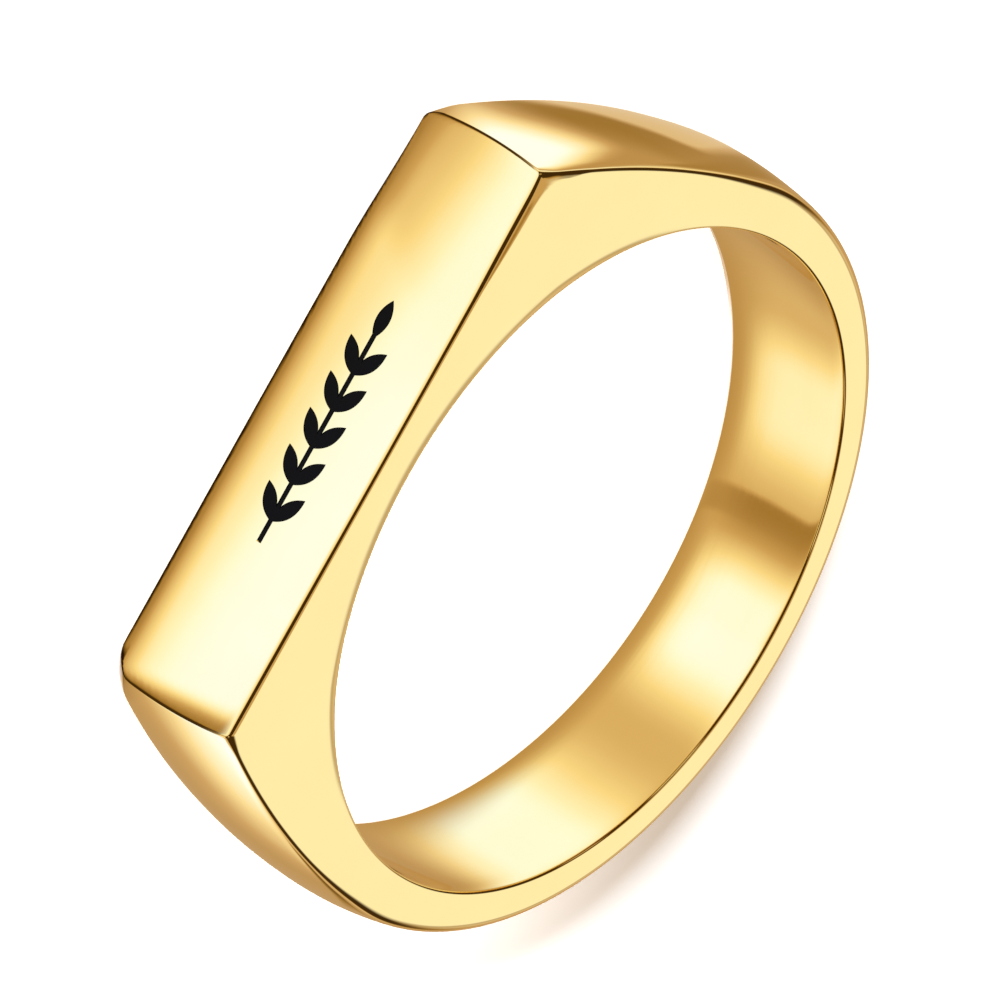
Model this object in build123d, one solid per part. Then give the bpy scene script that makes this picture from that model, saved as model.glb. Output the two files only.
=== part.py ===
from build123d import *
from math import asin, atan2, cos, degrees, radians, sin, sqrt, tan
import os

# A plain signet ring with a long narrow plate, lying on its side. Millimetres.
# The bore's axis is +Z and the ring rests on Z = 0, on the side face of plate, shoulders
# and shank. The plate faces -Y and is long in X. Angles are measured round the bore from
# the plate's normal, and side is +1 for the shoulder at +X and -1 for the one at -X.

# Bore and band
bore_diameter = 17.3            # a medium finger size, 54 mm round the inside
band_width = 4.0                # across the plate, the shoulders and the sides of the shank
back_width = 3.6                # across the shank opposite the plate
taper_start = 0.0               # distance past the bore's axis where the band starts to narrow

# Plate
plate_length = 15.0             # between the upper corners, before they are rounded
plate_offset = -0.1             # the plate sits a little towards the -X shoulder
plate_thickness = 1.26          # thinnest metal between the plate's face and the bore

# Shoulders and shank, thickness measured at the edge of the outer face
side_thickness = 1.18           # a quarter turn from the plate
back_thickness = 0.93           # opposite the plate
shoulder_end = 84.0             # angle where the shoulder's long arc meets the shank
crown = 0.32                    # how far the outer face bulges across the band
edge_roll = 0.5                 # radius of the rolled edges, before a section takes its share
bore_stock = 0.6                # metal inside the bore line that the bore then takes away

# Sections of shoulder and shank. The place is 0 at the plate's corner, 1 at the shoulder's
# end and 2 at the back. The rest are shares of crown and of edge_roll.
SECTIONS = [
    # place, crown share, roll share
    (-0.30, 0.42, 0.80),
    (0.00, 0.45, 0.80),
    (0.28, 0.80, 0.30),
    (0.62, 0.97, 0.25),
    (1.00, 0.85, 0.32),
    (1.25, 0.70, 0.56),
    (1.50, 0.70, 0.56),
    (1.75, 0.70, 0.56),
    (2.00, 0.70, 0.56),
]

# Engraved leaf sprig and its black inlay
sprig_length = 6.4              # from the stem's foot to the tip of the end leaf
stem_width = 0.1
leaf_length = 0.98
leaf_width = 0.36
leaf_angle = 36.0               # between a leaf and the stem
leaf_pairs = 5
stem_foot = 0.55                # bare stem below the first pair
engraving_depth = 0.15
inlay_gap = 0.02                # round and under the inlay
inlay_drop = 0.01               # the inlay's face below the plate's face

bore_radius = bore_diameter / 2
mid_width = band_width / 2
plate_rise = bore_radius + plate_thickness
side_rise = bore_radius + side_thickness
back_rise = bore_radius + back_thickness

# The shank's outer circle passes through both sides and the back, so its centre lies a
# little off the bore's axis.
shank_radius = (back_rise + side_rise ** 2 / back_rise) / 2
shank_centre = back_rise - shank_radius


def along(angle, radius):
    """Point at an angle from the plate's normal, on the +X half."""
    return Vector(radius * sin(radians(angle)), -radius * cos(radians(angle)))


def corner(side):
    """Upper corner of the plate on one side, mirrored to the +X half."""
    return Vector(plate_length / 2 + side * plate_offset, -plate_rise)


def corner_angle(side):
    point = corner(side)
    return degrees(atan2(point.X, -point.Y))


def shoulder_arc(side):
    """Centre and radius of the arc from the plate's corner, tangent to the shank's circle."""
    centre = Vector(0, shank_centre)
    outward = along(shoulder_end, 1)
    foot = centre + outward * shank_radius
    chord = corner(side) - foot
    radius = -chord.dot(chord) / (2 * chord.dot(outward))
    return foot - outward * radius, radius


def ray_to_circle(angle, centre, radius):
    """Distance from the bore's axis to a circle that holds it, at this angle."""
    near = along(angle, 1).dot(centre)
    return near + sqrt(near ** 2 - centre.dot(centre) + radius ** 2)


def edge_radius(angle, side):
    """Distance from the bore's axis to the outer face's edge."""
    if angle <= shoulder_end:
        centre, radius = shoulder_arc(side)
    else:
        centre, radius = Vector(0, shank_centre), shank_radius
    return ray_to_circle(angle, centre, radius)


def half_width(distance):
    """Half the band's width at a distance past the bore's axis, away from the plate."""
    share = max(distance - taper_start, 0) / (back_rise - taper_start)
    return (band_width - (band_width - back_width) * share ** 2) / 2


def place_angle(place, side):
    start = corner_angle(side)
    if place <= 1:
        return start + (shoulder_end - start) * place
    return shoulder_end + (180 - shoulder_end) * (place - 1)


def band_section(place, crown_share, roll_share, side):
    """Radial section: flat sides, a crowned outer face and rolled edges between them."""
    angle = place_angle(place, side)
    edge = edge_radius(angle, side)
    half = half_width(along(angle, edge).Y)
    bulge = crown * crown_share
    roll = edge_roll * roll_share
    crown_radius = (half ** 2 + bulge ** 2) / (2 * bulge)
    crown_centre = edge + bulge - crown_radius
    roll_centre = crown_centre + sqrt((crown_radius - roll) ** 2 - (half - roll) ** 2)
    meet = asin((half - roll) / (crown_radius - roll))
    middle = (radians(90) + meet) / 2
    foot = bore_radius - bore_stock
    roll_foot = (roll_centre, half)
    roll_mid = (roll_centre + roll * cos(middle), half - roll + roll * sin(middle))
    roll_top = (crown_centre + crown_radius * cos(meet), crown_radius * sin(meet))
    crown_top = (edge + bulge, 0)
    under = [(x, -y) for x, y in (roll_foot, roll_mid, roll_top)]
    outline = [
        Line((foot, -half), under[0]),
        ThreePointArc(under[0], under[1], under[2]),
        ThreePointArc(under[2], crown_top, roll_top),
        ThreePointArc(roll_top, roll_mid, roll_foot),
        Line(roll_foot, (foot, half)),
        Line((foot, half), (foot, -half)),
    ]
    out = along(angle, 1)
    plane = Plane(
        origin=(0, 0, mid_width),
        x_dir=(side * out.X, out.Y, 0),
        z_dir=(out.Y, -side * out.X, 0),
    )
    return plane * make_face(outline)


def loop_of_sections():
    """Sections from inside the plate's +X end, round the back, to inside its -X end."""
    right = [band_section(*row, side=1) for row in SECTIONS]
    left = [band_section(*row, side=-1) for row in SECTIONS[:-1]]
    return right + left[::-1]


def plate_block():
    """The metal under the middle of the plate, between the ends of the loop."""
    first = SECTIONS[0][0]
    foot = bore_radius - bore_stock
    right, left = place_angle(first, 1), place_angle(first, -1)
    right_foot, left_foot = along(right, foot), along(left, foot)
    outline = Polyline(
        (plate_rise * tan(radians(right)), -plate_rise),
        (right_foot.X, right_foot.Y),
        (-left_foot.X, left_foot.Y),
        (-plate_rise * tan(radians(left)), -plate_rise),
        close=True,
    )
    return extrude(make_face(outline), amount=band_width)


def leaf(length, width):
    """Pointed leaf lying along +X from the origin, between two arcs."""
    upper = ThreePointArc((0, 0), (length / 2, width / 2), (length, 0))
    lower = ThreePointArc((length, 0), (length / 2, -width / 2), (0, 0))
    return make_face([upper, lower])


def sprig(grow=0.0):
    """Stem with pairs of leaves and one end leaf, widened all round by grow."""
    start = sprig_length / 2
    end_leaf = sprig_length - leaf_length
    stem_length = end_leaf + leaf_length / 4
    long_leaf, wide_leaf = leaf_length + 2 * grow, leaf_width + 2 * grow
    pitch = (end_leaf - stem_foot) / leaf_pairs
    stem = Pos(start - stem_length / 2, 0) * Rectangle(stem_length + 2 * grow, stem_width + 2 * grow)
    shape = stem + Pos(start - end_leaf + grow, 0) * Rot(0, 0, 180) * leaf(long_leaf, wide_leaf)
    for number in range(leaf_pairs):
        x = start - stem_foot - pitch * number
        for turn in (-leaf_angle, leaf_angle):
            shape += Pos(x, 0) * Rot(0, 0, 180 + turn) * Pos(-grow, 0) * leaf(long_leaf, wide_leaf)
    return shape


def on_plate(shape, depth):
    """Put a flat shape on the plate's face, this far below it."""
    plane = Plane(origin=(plate_offset, -plate_rise + depth, mid_width), x_dir=(1, 0, 0), z_dir=(0, -1, 0))
    return plane * shape


def make_ring():
    """Casting with its plate, shoulders and shank, bored and engraved."""
    body = loft(loop_of_sections()) + plate_block()
    reach = plate_length + 2 * plate_rise
    above = Pos(0, -plate_rise - reach / 2, mid_width) * Box(2 * reach, reach, reach)
    bore = Pos(0, 0, mid_width) * Cylinder(bore_radius, 2 * band_width)
    floor = engraving_depth
    pocket = extrude(on_plate(sprig(inlay_gap), floor), amount=2 * floor)
    return body - above - bore - pocket


def make_inlay():
    """Black filling of the engraving, just clear of its walls and floor."""
    depth = engraving_depth - inlay_gap
    return extrude(on_plate(sprig(), depth), amount=depth - inlay_drop)


NODES = {
    "ring": make_ring,
    "engraving_inlay": make_inlay,
}

os.makedirs("parts", exist_ok=True)
for name, make in NODES.items():
    export_step(make(), f"parts/{name}.step")
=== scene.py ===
import math

import bpy
from mathutils import Matrix, Vector


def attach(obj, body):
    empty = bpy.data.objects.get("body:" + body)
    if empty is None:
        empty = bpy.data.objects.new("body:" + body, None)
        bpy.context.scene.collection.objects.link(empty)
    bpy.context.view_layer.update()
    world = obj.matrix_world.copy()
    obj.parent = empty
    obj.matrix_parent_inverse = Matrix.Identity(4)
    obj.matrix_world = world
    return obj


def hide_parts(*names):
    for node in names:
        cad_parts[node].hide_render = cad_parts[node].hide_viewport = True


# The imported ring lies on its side: the bore's axis is +Z, the plate faces -Y and is long in X.
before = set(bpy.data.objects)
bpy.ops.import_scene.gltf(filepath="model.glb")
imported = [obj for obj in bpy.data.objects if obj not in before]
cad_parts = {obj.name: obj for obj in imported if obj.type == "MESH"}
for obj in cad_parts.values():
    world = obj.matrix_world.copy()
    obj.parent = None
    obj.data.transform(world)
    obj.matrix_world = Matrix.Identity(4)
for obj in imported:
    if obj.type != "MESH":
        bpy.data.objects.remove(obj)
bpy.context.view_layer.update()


# ---------------------------------------------------------------- ring
# The ring is one casting in steel, ground flat on its plate and sides, rounded on a wheel
# at the back, polished to a mirror all over and plated with yellow gold. It is modelled as
# a blank of square section that a tree of nodes bends round the bore and files to shape.

# Sizes in millimetres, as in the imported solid
MM = 0.001                  # one of them, in Blender's metres
BORE_RADIUS = 8.65
PLATE_RISE = 9.91           # from the bore's axis to the plate's face
PLATE_LENGTH = 15.0
PLATE_OFFSET = -0.1
BAND_WIDTH = 4.0
BACK_WIDTH = 3.6
SIDE_RISE = 9.83            # outer face's edge, a quarter turn from the plate
BACK_RISE = 9.58            # and opposite the plate
SHOULDER_END = 84.0         # degrees from the plate's normal
SHANK_RADIUS = (BACK_RISE + SIDE_RISE ** 2 / BACK_RISE) / 2
SHANK_CENTRE = BACK_RISE - SHANK_RADIUS

# Rows of points round the bore, in degrees from the plate's normal on each side of it.
# They are close together where the plate folds down into the shoulders.
TURN_ROWS = [
    # from, to, steps
    (0.0, 34.6, 36),
    (34.6, 38.2, 46),
    (38.2, 43.0, 26),
    (43.0, 52.0, 18),
    (52.0, 90.0, 46),
    (90.0, 180.0, 72),
]

# Points round the upper half of the section, from the middle of the outer face over the
# edge and down the side to the middle of the bore. Across is a share of half the width,
# rise is 1 on the outer face and 0 in the bore, and inset is in millimetres below that.
SECTION_ROWS = [
    # across, rise, inset, steps up to this row
    (0.00, 1.0, 0.00, 0),
    (0.60, 1.0, 0.00, 8),
    (0.92, 1.0, 0.00, 9),
    (1.00, 1.0, 0.00, 10),
    (1.00, 1.0, 0.16, 10),
    (1.00, 0.6, 0.00, 14),
    (1.00, 0.0, -0.12, 8),
    (1.00, 0.0, 0.00, 8),
    (0.94, 0.0, 0.00, 8),
    (0.20, 0.0, 0.00, 12),
    (0.00, 0.0, 0.00, 2),
]


def add(tree, kind, settings=None, links=None):
    """Adds one node, sets its properties, and sets or joins its inputs."""
    node = tree.nodes.new(kind)
    for name, value in (settings or {}).items():
        setattr(node, name, value)
    for key, value in (links or {}).items():
        if isinstance(value, bpy.types.NodeSocket):
            tree.links.new(value, node.inputs[key])
        else:
            node.inputs[key].default_value = value
    return node


def linear(hex_colour):
    """Linear colour of an sRGB hex colour."""
    parts = [int(hex_colour[k:k + 2], 16) / 255 for k in (1, 3, 5)]
    return tuple(c / 12.92 if c <= 0.04045 else ((c + 0.055) / 1.055) ** 2.4 for c in parts) + (1.0,)


def turn_stations():
    """Angles round the whole bore, from just past the back on the -X side to the back."""
    half = [0.0]
    for start, end, count in TURN_ROWS:
        half += [start + (end - start) * (k + 1) / count for k in range(count)]
    far_side = [-turn for turn in half[:0:-1]]
    return far_side[1:] + half


def section_points():
    """(across, rise, inset) round the whole section, once."""
    upper = [SECTION_ROWS[0][:3]]
    for before, after in zip(SECTION_ROWS, SECTION_ROWS[1:]):
        count = after[3]
        for k in range(1, count + 1):
            upper.append(tuple(a + (b - a) * k / count for a, b in zip(before[:3], after[:3])))
    lower = [(-across, rise, inset) for across, rise, inset in upper[-2:0:-1]]
    return upper + lower


def ring_blank():
    """A closed loop of quads whose points carry their turn, across, rise and inset."""
    turns = turn_stations()
    points = section_points()
    across_count = len(points)
    faces = []
    for i in range(len(turns)):
        for j in range(across_count):
            following = (i + 1) % len(turns)
            beside = (j + 1) % across_count
            faces.append((
                i * across_count + j,
                following * across_count + j,
                following * across_count + beside,
                i * across_count + beside,
            ))
    mesh = bpy.data.meshes.new("ring_blank")
    mesh.from_pydata([(0, 0, 0)] * (len(turns) * across_count), [], faces)
    columns = {
        "turn": [math.radians(turn) for turn in turns for _ in points],
        "across": [point[0] for _ in turns for point in points],
        "rise": [point[1] for _ in turns for point in points],
        "inset": [point[2] for _ in turns for point in points],
    }
    for name, values in columns.items():
        mesh.attributes.new(name, "FLOAT", "POINT").data.foreach_set("value", values)
    return bpy.data.objects.new("ring_body", mesh)


# What the tree does, one step a row: a name, an operation, and its terms, which are
# earlier names, inputs or numbers. Lengths are in millimetres and angles in radians.
RING_STEPS = [
    ("side", "SIGN", "turn"),
    ("angle", "ABSOLUTE", "turn"),
    ("sine", "SINE", "angle"),
    ("cosine", "COSINE", "angle"),
    # shoulder: the arc from the plate's corner to the foot, where it meets the shank
    ("end_sine", "SINE", "Shoulder end"),
    ("end_cosine", "COSINE", "Shoulder end"),
    ("foot_x", "MULTIPLY", "Shank radius", "end_sine"),
    ("foot_fall", "MULTIPLY", "Shank radius", "end_cosine"),
    ("foot_y", "SUBTRACT", "Shank centre", "foot_fall"),
    ("half_plate", "MULTIPLY", "Plate length", 0.5),
    ("corner_x", "MULTIPLY_ADD", "side", "Plate offset", "half_plate"),
    ("chord_x", "SUBTRACT", "corner_x", "foot_x"),
    ("corner_y", "MULTIPLY", "Plate rise", -1.0),
    ("chord_y", "SUBTRACT", "corner_y", "foot_y"),
    ("chord_y_square", "MULTIPLY", "chord_y", "chord_y"),
    ("chord_square", "MULTIPLY_ADD", "chord_x", "chord_x", "chord_y_square"),
    ("chord_x_out", "MULTIPLY", "chord_x", "end_sine"),
    ("chord_y_out", "MULTIPLY", "chord_y", "end_cosine"),
    ("chord_out", "SUBTRACT", "chord_y_out", "chord_x_out"),
    ("chord_out_twice", "MULTIPLY", "chord_out", 2.0),
    ("arc_radius", "DIVIDE", "chord_square", "chord_out_twice"),
    ("arc_back_x", "MULTIPLY", "arc_radius", "end_sine"),
    ("arc_x", "SUBTRACT", "foot_x", "arc_back_x"),
    ("arc_y", "MULTIPLY_ADD", "arc_radius", "end_cosine", "foot_y"),
    ("arc_near_y", "MULTIPLY", "arc_y", "cosine"),
    ("arc_near_x", "MULTIPLY", "arc_x", "sine"),
    ("arc_near", "SUBTRACT", "arc_near_x", "arc_near_y"),
    ("arc_x_square", "MULTIPLY", "arc_x", "arc_x"),
    ("arc_offset_square", "MULTIPLY_ADD", "arc_y", "arc_y", "arc_x_square"),
    ("arc_radius_square", "MULTIPLY", "arc_radius", "arc_radius"),
    ("arc_power", "SUBTRACT", "arc_radius_square", "arc_offset_square"),
    ("arc_inside", "MULTIPLY_ADD", "arc_near", "arc_near", "arc_power"),
    ("arc_root", "SQRT", "arc_inside"),
    ("arc_reach", "ADD", "arc_near", "arc_root"),
    # shank: one circle whose centre is a little off the bore's axis
    ("shank_near", "MULTIPLY", "Shank centre", "cosine"),
    ("shank_radius_square", "MULTIPLY", "Shank radius", "Shank radius"),
    ("shank_offset_square", "MULTIPLY", "Shank centre", "Shank centre"),
    ("shank_power", "SUBTRACT", "shank_radius_square", "shank_offset_square"),
    ("shank_inside", "MULTIPLY_ADD", "shank_near", "shank_near", "shank_power"),
    ("shank_root", "SQRT", "shank_inside"),
    ("shank_reach", "SUBTRACT", "shank_root", "shank_near"),
    ("join", "SMOOTHSTEP", "angle", "Join start", "Join end", 0.0, 1.0),
    ("shank_extra", "SUBTRACT", "shank_reach", "arc_reach"),
    ("edge", "MULTIPLY_ADD", "join", "shank_extra", "arc_reach"),
    # width: full to the bore's axis, then narrower towards the back
    ("edge_fall", "MULTIPLY", "edge", "cosine"),
    ("edge_y", "MULTIPLY", "edge_fall", -1.0),
    ("past_axis", "MAXIMUM", "edge_y", 0.0),
    ("past_share", "DIVIDE", "past_axis", "Back rise"),
    ("past_square", "MULTIPLY", "past_share", "past_share"),
    ("narrowing", "SUBTRACT", "Band width", "Back width"),
    ("narrowed", "MULTIPLY", "narrowing", "past_square"),
    ("width", "SUBTRACT", "Band width", "narrowed"),
    ("half", "MULTIPLY", "width", 0.5),
    # the lower edge of the plate draws in a little towards the -X end
    ("below_middle", "LESS_THAN", "across", 0.0),
    ("minus_side", "MULTIPLY", "turn", -1.0),
    ("draw_in", "SMOOTHSTEP", "minus_side", "Taper start", "Taper full", 0.0, "Far taper"),
    ("draw_out", "SMOOTHSTEP", "minus_side", "Taper ease", "Taper end", "Far taper", 0.0),
    ("draw", "MINIMUM", "draw_in", "draw_out"),
    ("draw_below", "MULTIPLY", "draw", "below_middle"),
    ("half_here", "SUBTRACT", "half", "draw_below"),
    # outer face of the shoulders and shank: crowned, and rolled off near its edges
    ("span", "ABSOLUTE", "across"),
    ("span_square", "MULTIPLY", "across", "across"),
    ("crown_rise", "SMOOTHSTEP", "angle", "Crown start", "Crown full", "Corner crown", "Shoulder crown"),
    ("crown_sink", "SMOOTHSTEP", "angle", "Crown ease", "Crown end", "Shoulder crown", "Shank crown"),
    ("bulge", "MINIMUM", "crown_rise", "crown_sink"),
    ("crown_left", "SUBTRACT", 1.0, "span_square"),
    ("crowned", "MULTIPLY_ADD", "bulge", "crown_left", "edge"),
    ("fall_more", "MULTIPLY_ADD", "side", "Near fall more", "Lower fall more"),
    ("corner_fall", "MULTIPLY_ADD", "below_middle", "fall_more", "Corner fall"),
    ("corner_width", "MULTIPLY_ADD", "below_middle", "Lower width more", "Corner width"),
    ("corner_end", "MULTIPLY_ADD", "below_middle", "Lower corner more", "Corner end"),
    ("margin_fall", "SMOOTHSTEP", "angle", "Corner start", "corner_end", "corner_fall", "Margin fall"),
    ("margin_width", "SMOOTHSTEP", "angle", "Corner start", "corner_end", "corner_width", "Margin width"),
    ("margin_in", "SUBTRACT", 1.0, "span"),
    ("margin_gap", "MULTIPLY", "margin_in", "half"),
    ("margin_way", "DIVIDE", "margin_gap", "margin_width"),
    ("margin_left", "SUBTRACT", 1.0, "margin_way"),
    ("margin_share", "MAXIMUM", "margin_left", 0.0),
    ("margin_square", "MULTIPLY", "margin_share", "margin_share"),
    ("margin_drop", "MULTIPLY", "margin_fall", "margin_square"),
    ("flank", "SUBTRACT", "crowned", "margin_drop"),
    # plate: flat, with pillowed margins along its long edges and its ends
    ("plate_cosine", "MAXIMUM", "cosine", "Least cosine"),
    ("plate_end_x", "MULTIPLY", "Plate rise", "sine"),
    ("plate_x", "DIVIDE", "plate_end_x", "plate_cosine"),
    ("end_gap", "SUBTRACT", "corner_x", "plate_x"),
    ("end_gap_left", "SUBTRACT", "end_gap", "margin_drop"),
    ("end_way", "DIVIDE", "end_gap_left", "Pillow width"),
    ("end_left", "SUBTRACT", 1.0, "end_way"),
    ("end_share", "MAXIMUM", "end_left", 0.0),
    ("end_limited", "MINIMUM", "end_share", "Pillow limit"),
    ("end_square", "MULTIPLY", "end_limited", "end_limited"),
    ("long_way", "DIVIDE", "margin_gap", "Pillow width"),
    ("long_left", "SUBTRACT", 1.0, "long_way"),
    ("long_share", "MAXIMUM", "long_left", 0.0),
    ("long_square", "MULTIPLY", "long_share", "long_share"),
    ("pillow_share", "MULTIPLY_ADD", "end_square", "End pillow", "long_square"),
    ("pillow", "MULTIPLY", "pillow_share", "Pillow fall"),
    ("plate_height", "SUBTRACT", "Plate rise", "pillow"),
    ("plate", "DIVIDE", "plate_height", "plate_cosine"),
    ("outer", "SMOOTH_MIN", "plate", "flank", "Fold"),
    ("height", "SUBTRACT", "outer", "Bore radius"),
    # slope of the outer face across the band, where this point sees it
    ("flank_more", "SUBTRACT", "plate", "flank"),
    ("blend_start", "MULTIPLY", "Slope blend", -1.0),
    ("flank_weight", "SMOOTHSTEP", "flank_more", "blend_start", "Slope blend", 0.0, 1.0),
    ("bulge_twice", "MULTIPLY", "bulge", 2.0),
    ("bulge_slope", "DIVIDE", "bulge_twice", "half"),
    ("crown_slope", "MULTIPLY", "bulge_slope", "span"),
    ("margin_twice", "MULTIPLY", "margin_fall", 2.0),
    ("margin_steep", "DIVIDE", "margin_twice", "margin_width"),
    ("outer_slope_both", "MULTIPLY_ADD", "margin_steep", "margin_share", "crown_slope"),
    ("outer_slope", "MULTIPLY", "outer_slope_both", "flank_weight"),
    # where this point of the squared blank lies
    ("lifted", "MULTIPLY", "rise", "height"),
    ("above_bore", "SUBTRACT", "lifted", "inset"),
    ("below_edge", "SUBTRACT", "height", "above_bore"),
    ("blank_reach", "ADD", "Bore radius", "above_bore"),
    # side faces: flat, eased towards the outer edge and rolled towards the bore
    ("border_fall", "SMOOTHSTEP", "angle", "Border ease", "Border end", "Border fall", "Shank border fall"),
    ("border_way", "DIVIDE", "below_edge", "Border width"),
    ("border_left", "SUBTRACT", 1.0, "border_way"),
    ("border_share", "MAXIMUM", "border_left", 0.0),
    ("border_square", "MULTIPLY", "border_share", "border_share"),
    ("border_drop", "MULTIPLY", "border_square", "border_fall"),
    ("chamfer_in", "SMOOTHSTEP", "minus_side", "Chamfer start", "Chamfer full", 0.0, "Far chamfer"),
    ("chamfer_out", "SMOOTHSTEP", "minus_side", "Chamfer ease", "Chamfer end", "Far chamfer", 0.0),
    ("chamfer_both", "MINIMUM", "chamfer_in", "chamfer_out"),
    ("above_middle", "GREATER_THAN", "across", 0.0),
    ("chamfer", "MULTIPLY", "chamfer_both", "above_middle"),
    ("chamfer_share", "DIVIDE", "chamfer", "Far chamfer"),
    ("outer_soft", "SMOOTH_MIN", "plate", "flank", "Facet spread"),
    ("corner_more", "SUBTRACT", "outer", "outer_soft"),
    ("chamfer_wide", "MULTIPLY_ADD", "corner_more", "chamfer_share", "chamfer"),
    ("chamfer_depth", "SUBTRACT", "chamfer_wide", "below_edge"),
    ("chamfer_here", "SMOOTH_MAX", "chamfer_depth", 0.0, "Chamfer easing"),
    ("chamfer_drop", "MULTIPLY", "chamfer_here", "Chamfer slope"),
    ("chamfer_on", "GREATER_THAN", "chamfer_depth", 0.0),
    ("rim_way", "DIVIDE", "above_bore", "Rim width"),
    ("rim_left", "SUBTRACT", 1.0, "rim_way"),
    ("rim_share", "MAXIMUM", "rim_left", 0.0),
    ("rim_square", "MULTIPLY", "rim_share", "rim_share"),
    ("rim_fall", "SMOOTHSTEP", "angle", "Rim ease", "Rim end", "Rim fall", "Back rim fall"),
    ("rim_drop", "MULTIPLY", "rim_square", "rim_fall"),
    ("border_or_chamfer", "MAXIMUM", "border_drop", "chamfer_drop"),
    ("side_drop", "ADD", "border_or_chamfer", "rim_drop"),
    ("side_half", "SUBTRACT", "half_here", "side_drop"),
    ("border_twice", "MULTIPLY", "border_fall", 2.0),
    ("border_steep", "DIVIDE", "border_twice", "Border width"),
    ("border_slope", "MULTIPLY", "border_steep", "border_share"),
    ("chamfer_slope", "MULTIPLY", "chamfer_on", "Chamfer slope"),
    ("top_slope", "MAXIMUM", "border_slope", "chamfer_slope"),
    ("rim_twice", "MULTIPLY", "rim_fall", 2.0),
    ("rim_steep", "DIVIDE", "rim_twice", "Rim width"),
    ("rim_slope", "MULTIPLY", "rim_steep", "rim_share"),
    ("side_slope", "SUBTRACT", "top_slope", "rim_slope"),
    # from the section's middle towards the point, as far as the nearest of its faces,
    # with each edge rolled where two faces are equally near
    ("plate_flat", "DIVIDE", "Plate rise", "plate_cosine"),
    ("core_top", "MINIMUM", "plate_flat", "edge"),
    ("core_sum", "ADD", "core_top", "Bore radius"),
    ("core", "MULTIPLY", "core_sum", 0.5),
    ("out", "SUBTRACT", "blank_reach", "core"),
    ("off", "MULTIPLY", "span", "side_half"),
    ("off_square", "MULTIPLY", "off", "off"),
    ("length_square", "MULTIPLY_ADD", "out", "out", "off_square"),
    ("length", "SQRT", "length_square"),
    ("way_out", "DIVIDE", "out", "length"),
    ("way_off", "DIVIDE", "off", "length"),
    ("outer_above", "SUBTRACT", "outer", "core"),
    ("outer_lean", "MULTIPLY_ADD", "outer_slope", "off", "outer_above"),
    ("outer_rate", "MULTIPLY_ADD", "outer_slope", "way_off", "way_out"),
    ("outer_rate_held", "MAXIMUM", "outer_rate", "Least rate"),
    ("outer_reach", "DIVIDE", "outer_lean", "outer_rate_held"),
    ("side_lean", "MULTIPLY_ADD", "side_slope", "out", "side_half"),
    ("side_rate", "MULTIPLY_ADD", "side_slope", "way_out", "way_off"),
    ("side_rate_held", "MAXIMUM", "side_rate", "Least rate"),
    ("side_reach", "DIVIDE", "side_lean", "side_rate_held"),
    ("bore_core", "SUBTRACT", "core", "Bore radius"),
    ("way_in", "MULTIPLY", "way_out", -1.0),
    ("bore_rate_held", "MAXIMUM", "way_in", "Least rate"),
    ("bore_straight", "DIVIDE", "bore_core", "bore_rate_held"),
    ("bore_off", "MULTIPLY", "bore_straight", "way_off"),
    ("bore_gap", "SUBTRACT", "half_here", "bore_off"),
    ("flare_way", "DIVIDE", "bore_gap", "Flare width"),
    ("flare_left", "SUBTRACT", 1.0, "flare_way"),
    ("flare_share", "MAXIMUM", "flare_left", 0.0),
    ("flare_limited", "MINIMUM", "flare_share", "Flare limit"),
    ("flare_square", "MULTIPLY", "flare_limited", "flare_limited"),
    ("flare_below", "MULTIPLY", "flare_square", "below_middle"),
    ("flare", "MULTIPLY", "flare_below", "Bore flare"),
    ("bore_below", "SUBTRACT", "bore_core", "flare"),
    ("bore_reach", "DIVIDE", "bore_below", "bore_rate_held"),
    ("upper_roll", "SMOOTHSTEP", "angle", "Fold start", "Fold end", "Edge roll", "Shoulder roll"),
    ("front_roll", "MULTIPLY_ADD", "below_middle", "Lower edge more", "upper_roll"),
    ("edge_roll", "SMOOTHSTEP", "angle", "Roll start", "Roll end", "front_roll", "Shank roll"),
    ("outer_or_side", "SMOOTH_MIN", "outer_reach", "side_reach", "edge_roll"),
    ("rim_roll", "MULTIPLY_ADD", "below_middle", "Lower rim more", "Rim roll"),
    ("reach", "SMOOTH_MIN", "outer_or_side", "bore_reach", "rim_roll"),
    ("radius", "MULTIPLY_ADD", "reach", "way_out", "core"),
    ("across_side", "SIGN", "across"),
    ("off_middle", "MULTIPLY", "reach", "way_off"),
    ("z_middle", "MULTIPLY", "off_middle", "across_side"),
    ("turn_sine", "SINE", "turn"),
    ("x", "MULTIPLY", "radius", "turn_sine"),
    ("y_in", "MULTIPLY", "radius", "cosine"),
    ("y", "MULTIPLY", "y_in", -1.0),
    ("half_band", "MULTIPLY", "Band width", 0.5),
    ("z", "ADD", "z_middle", "half_band"),
]

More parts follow.
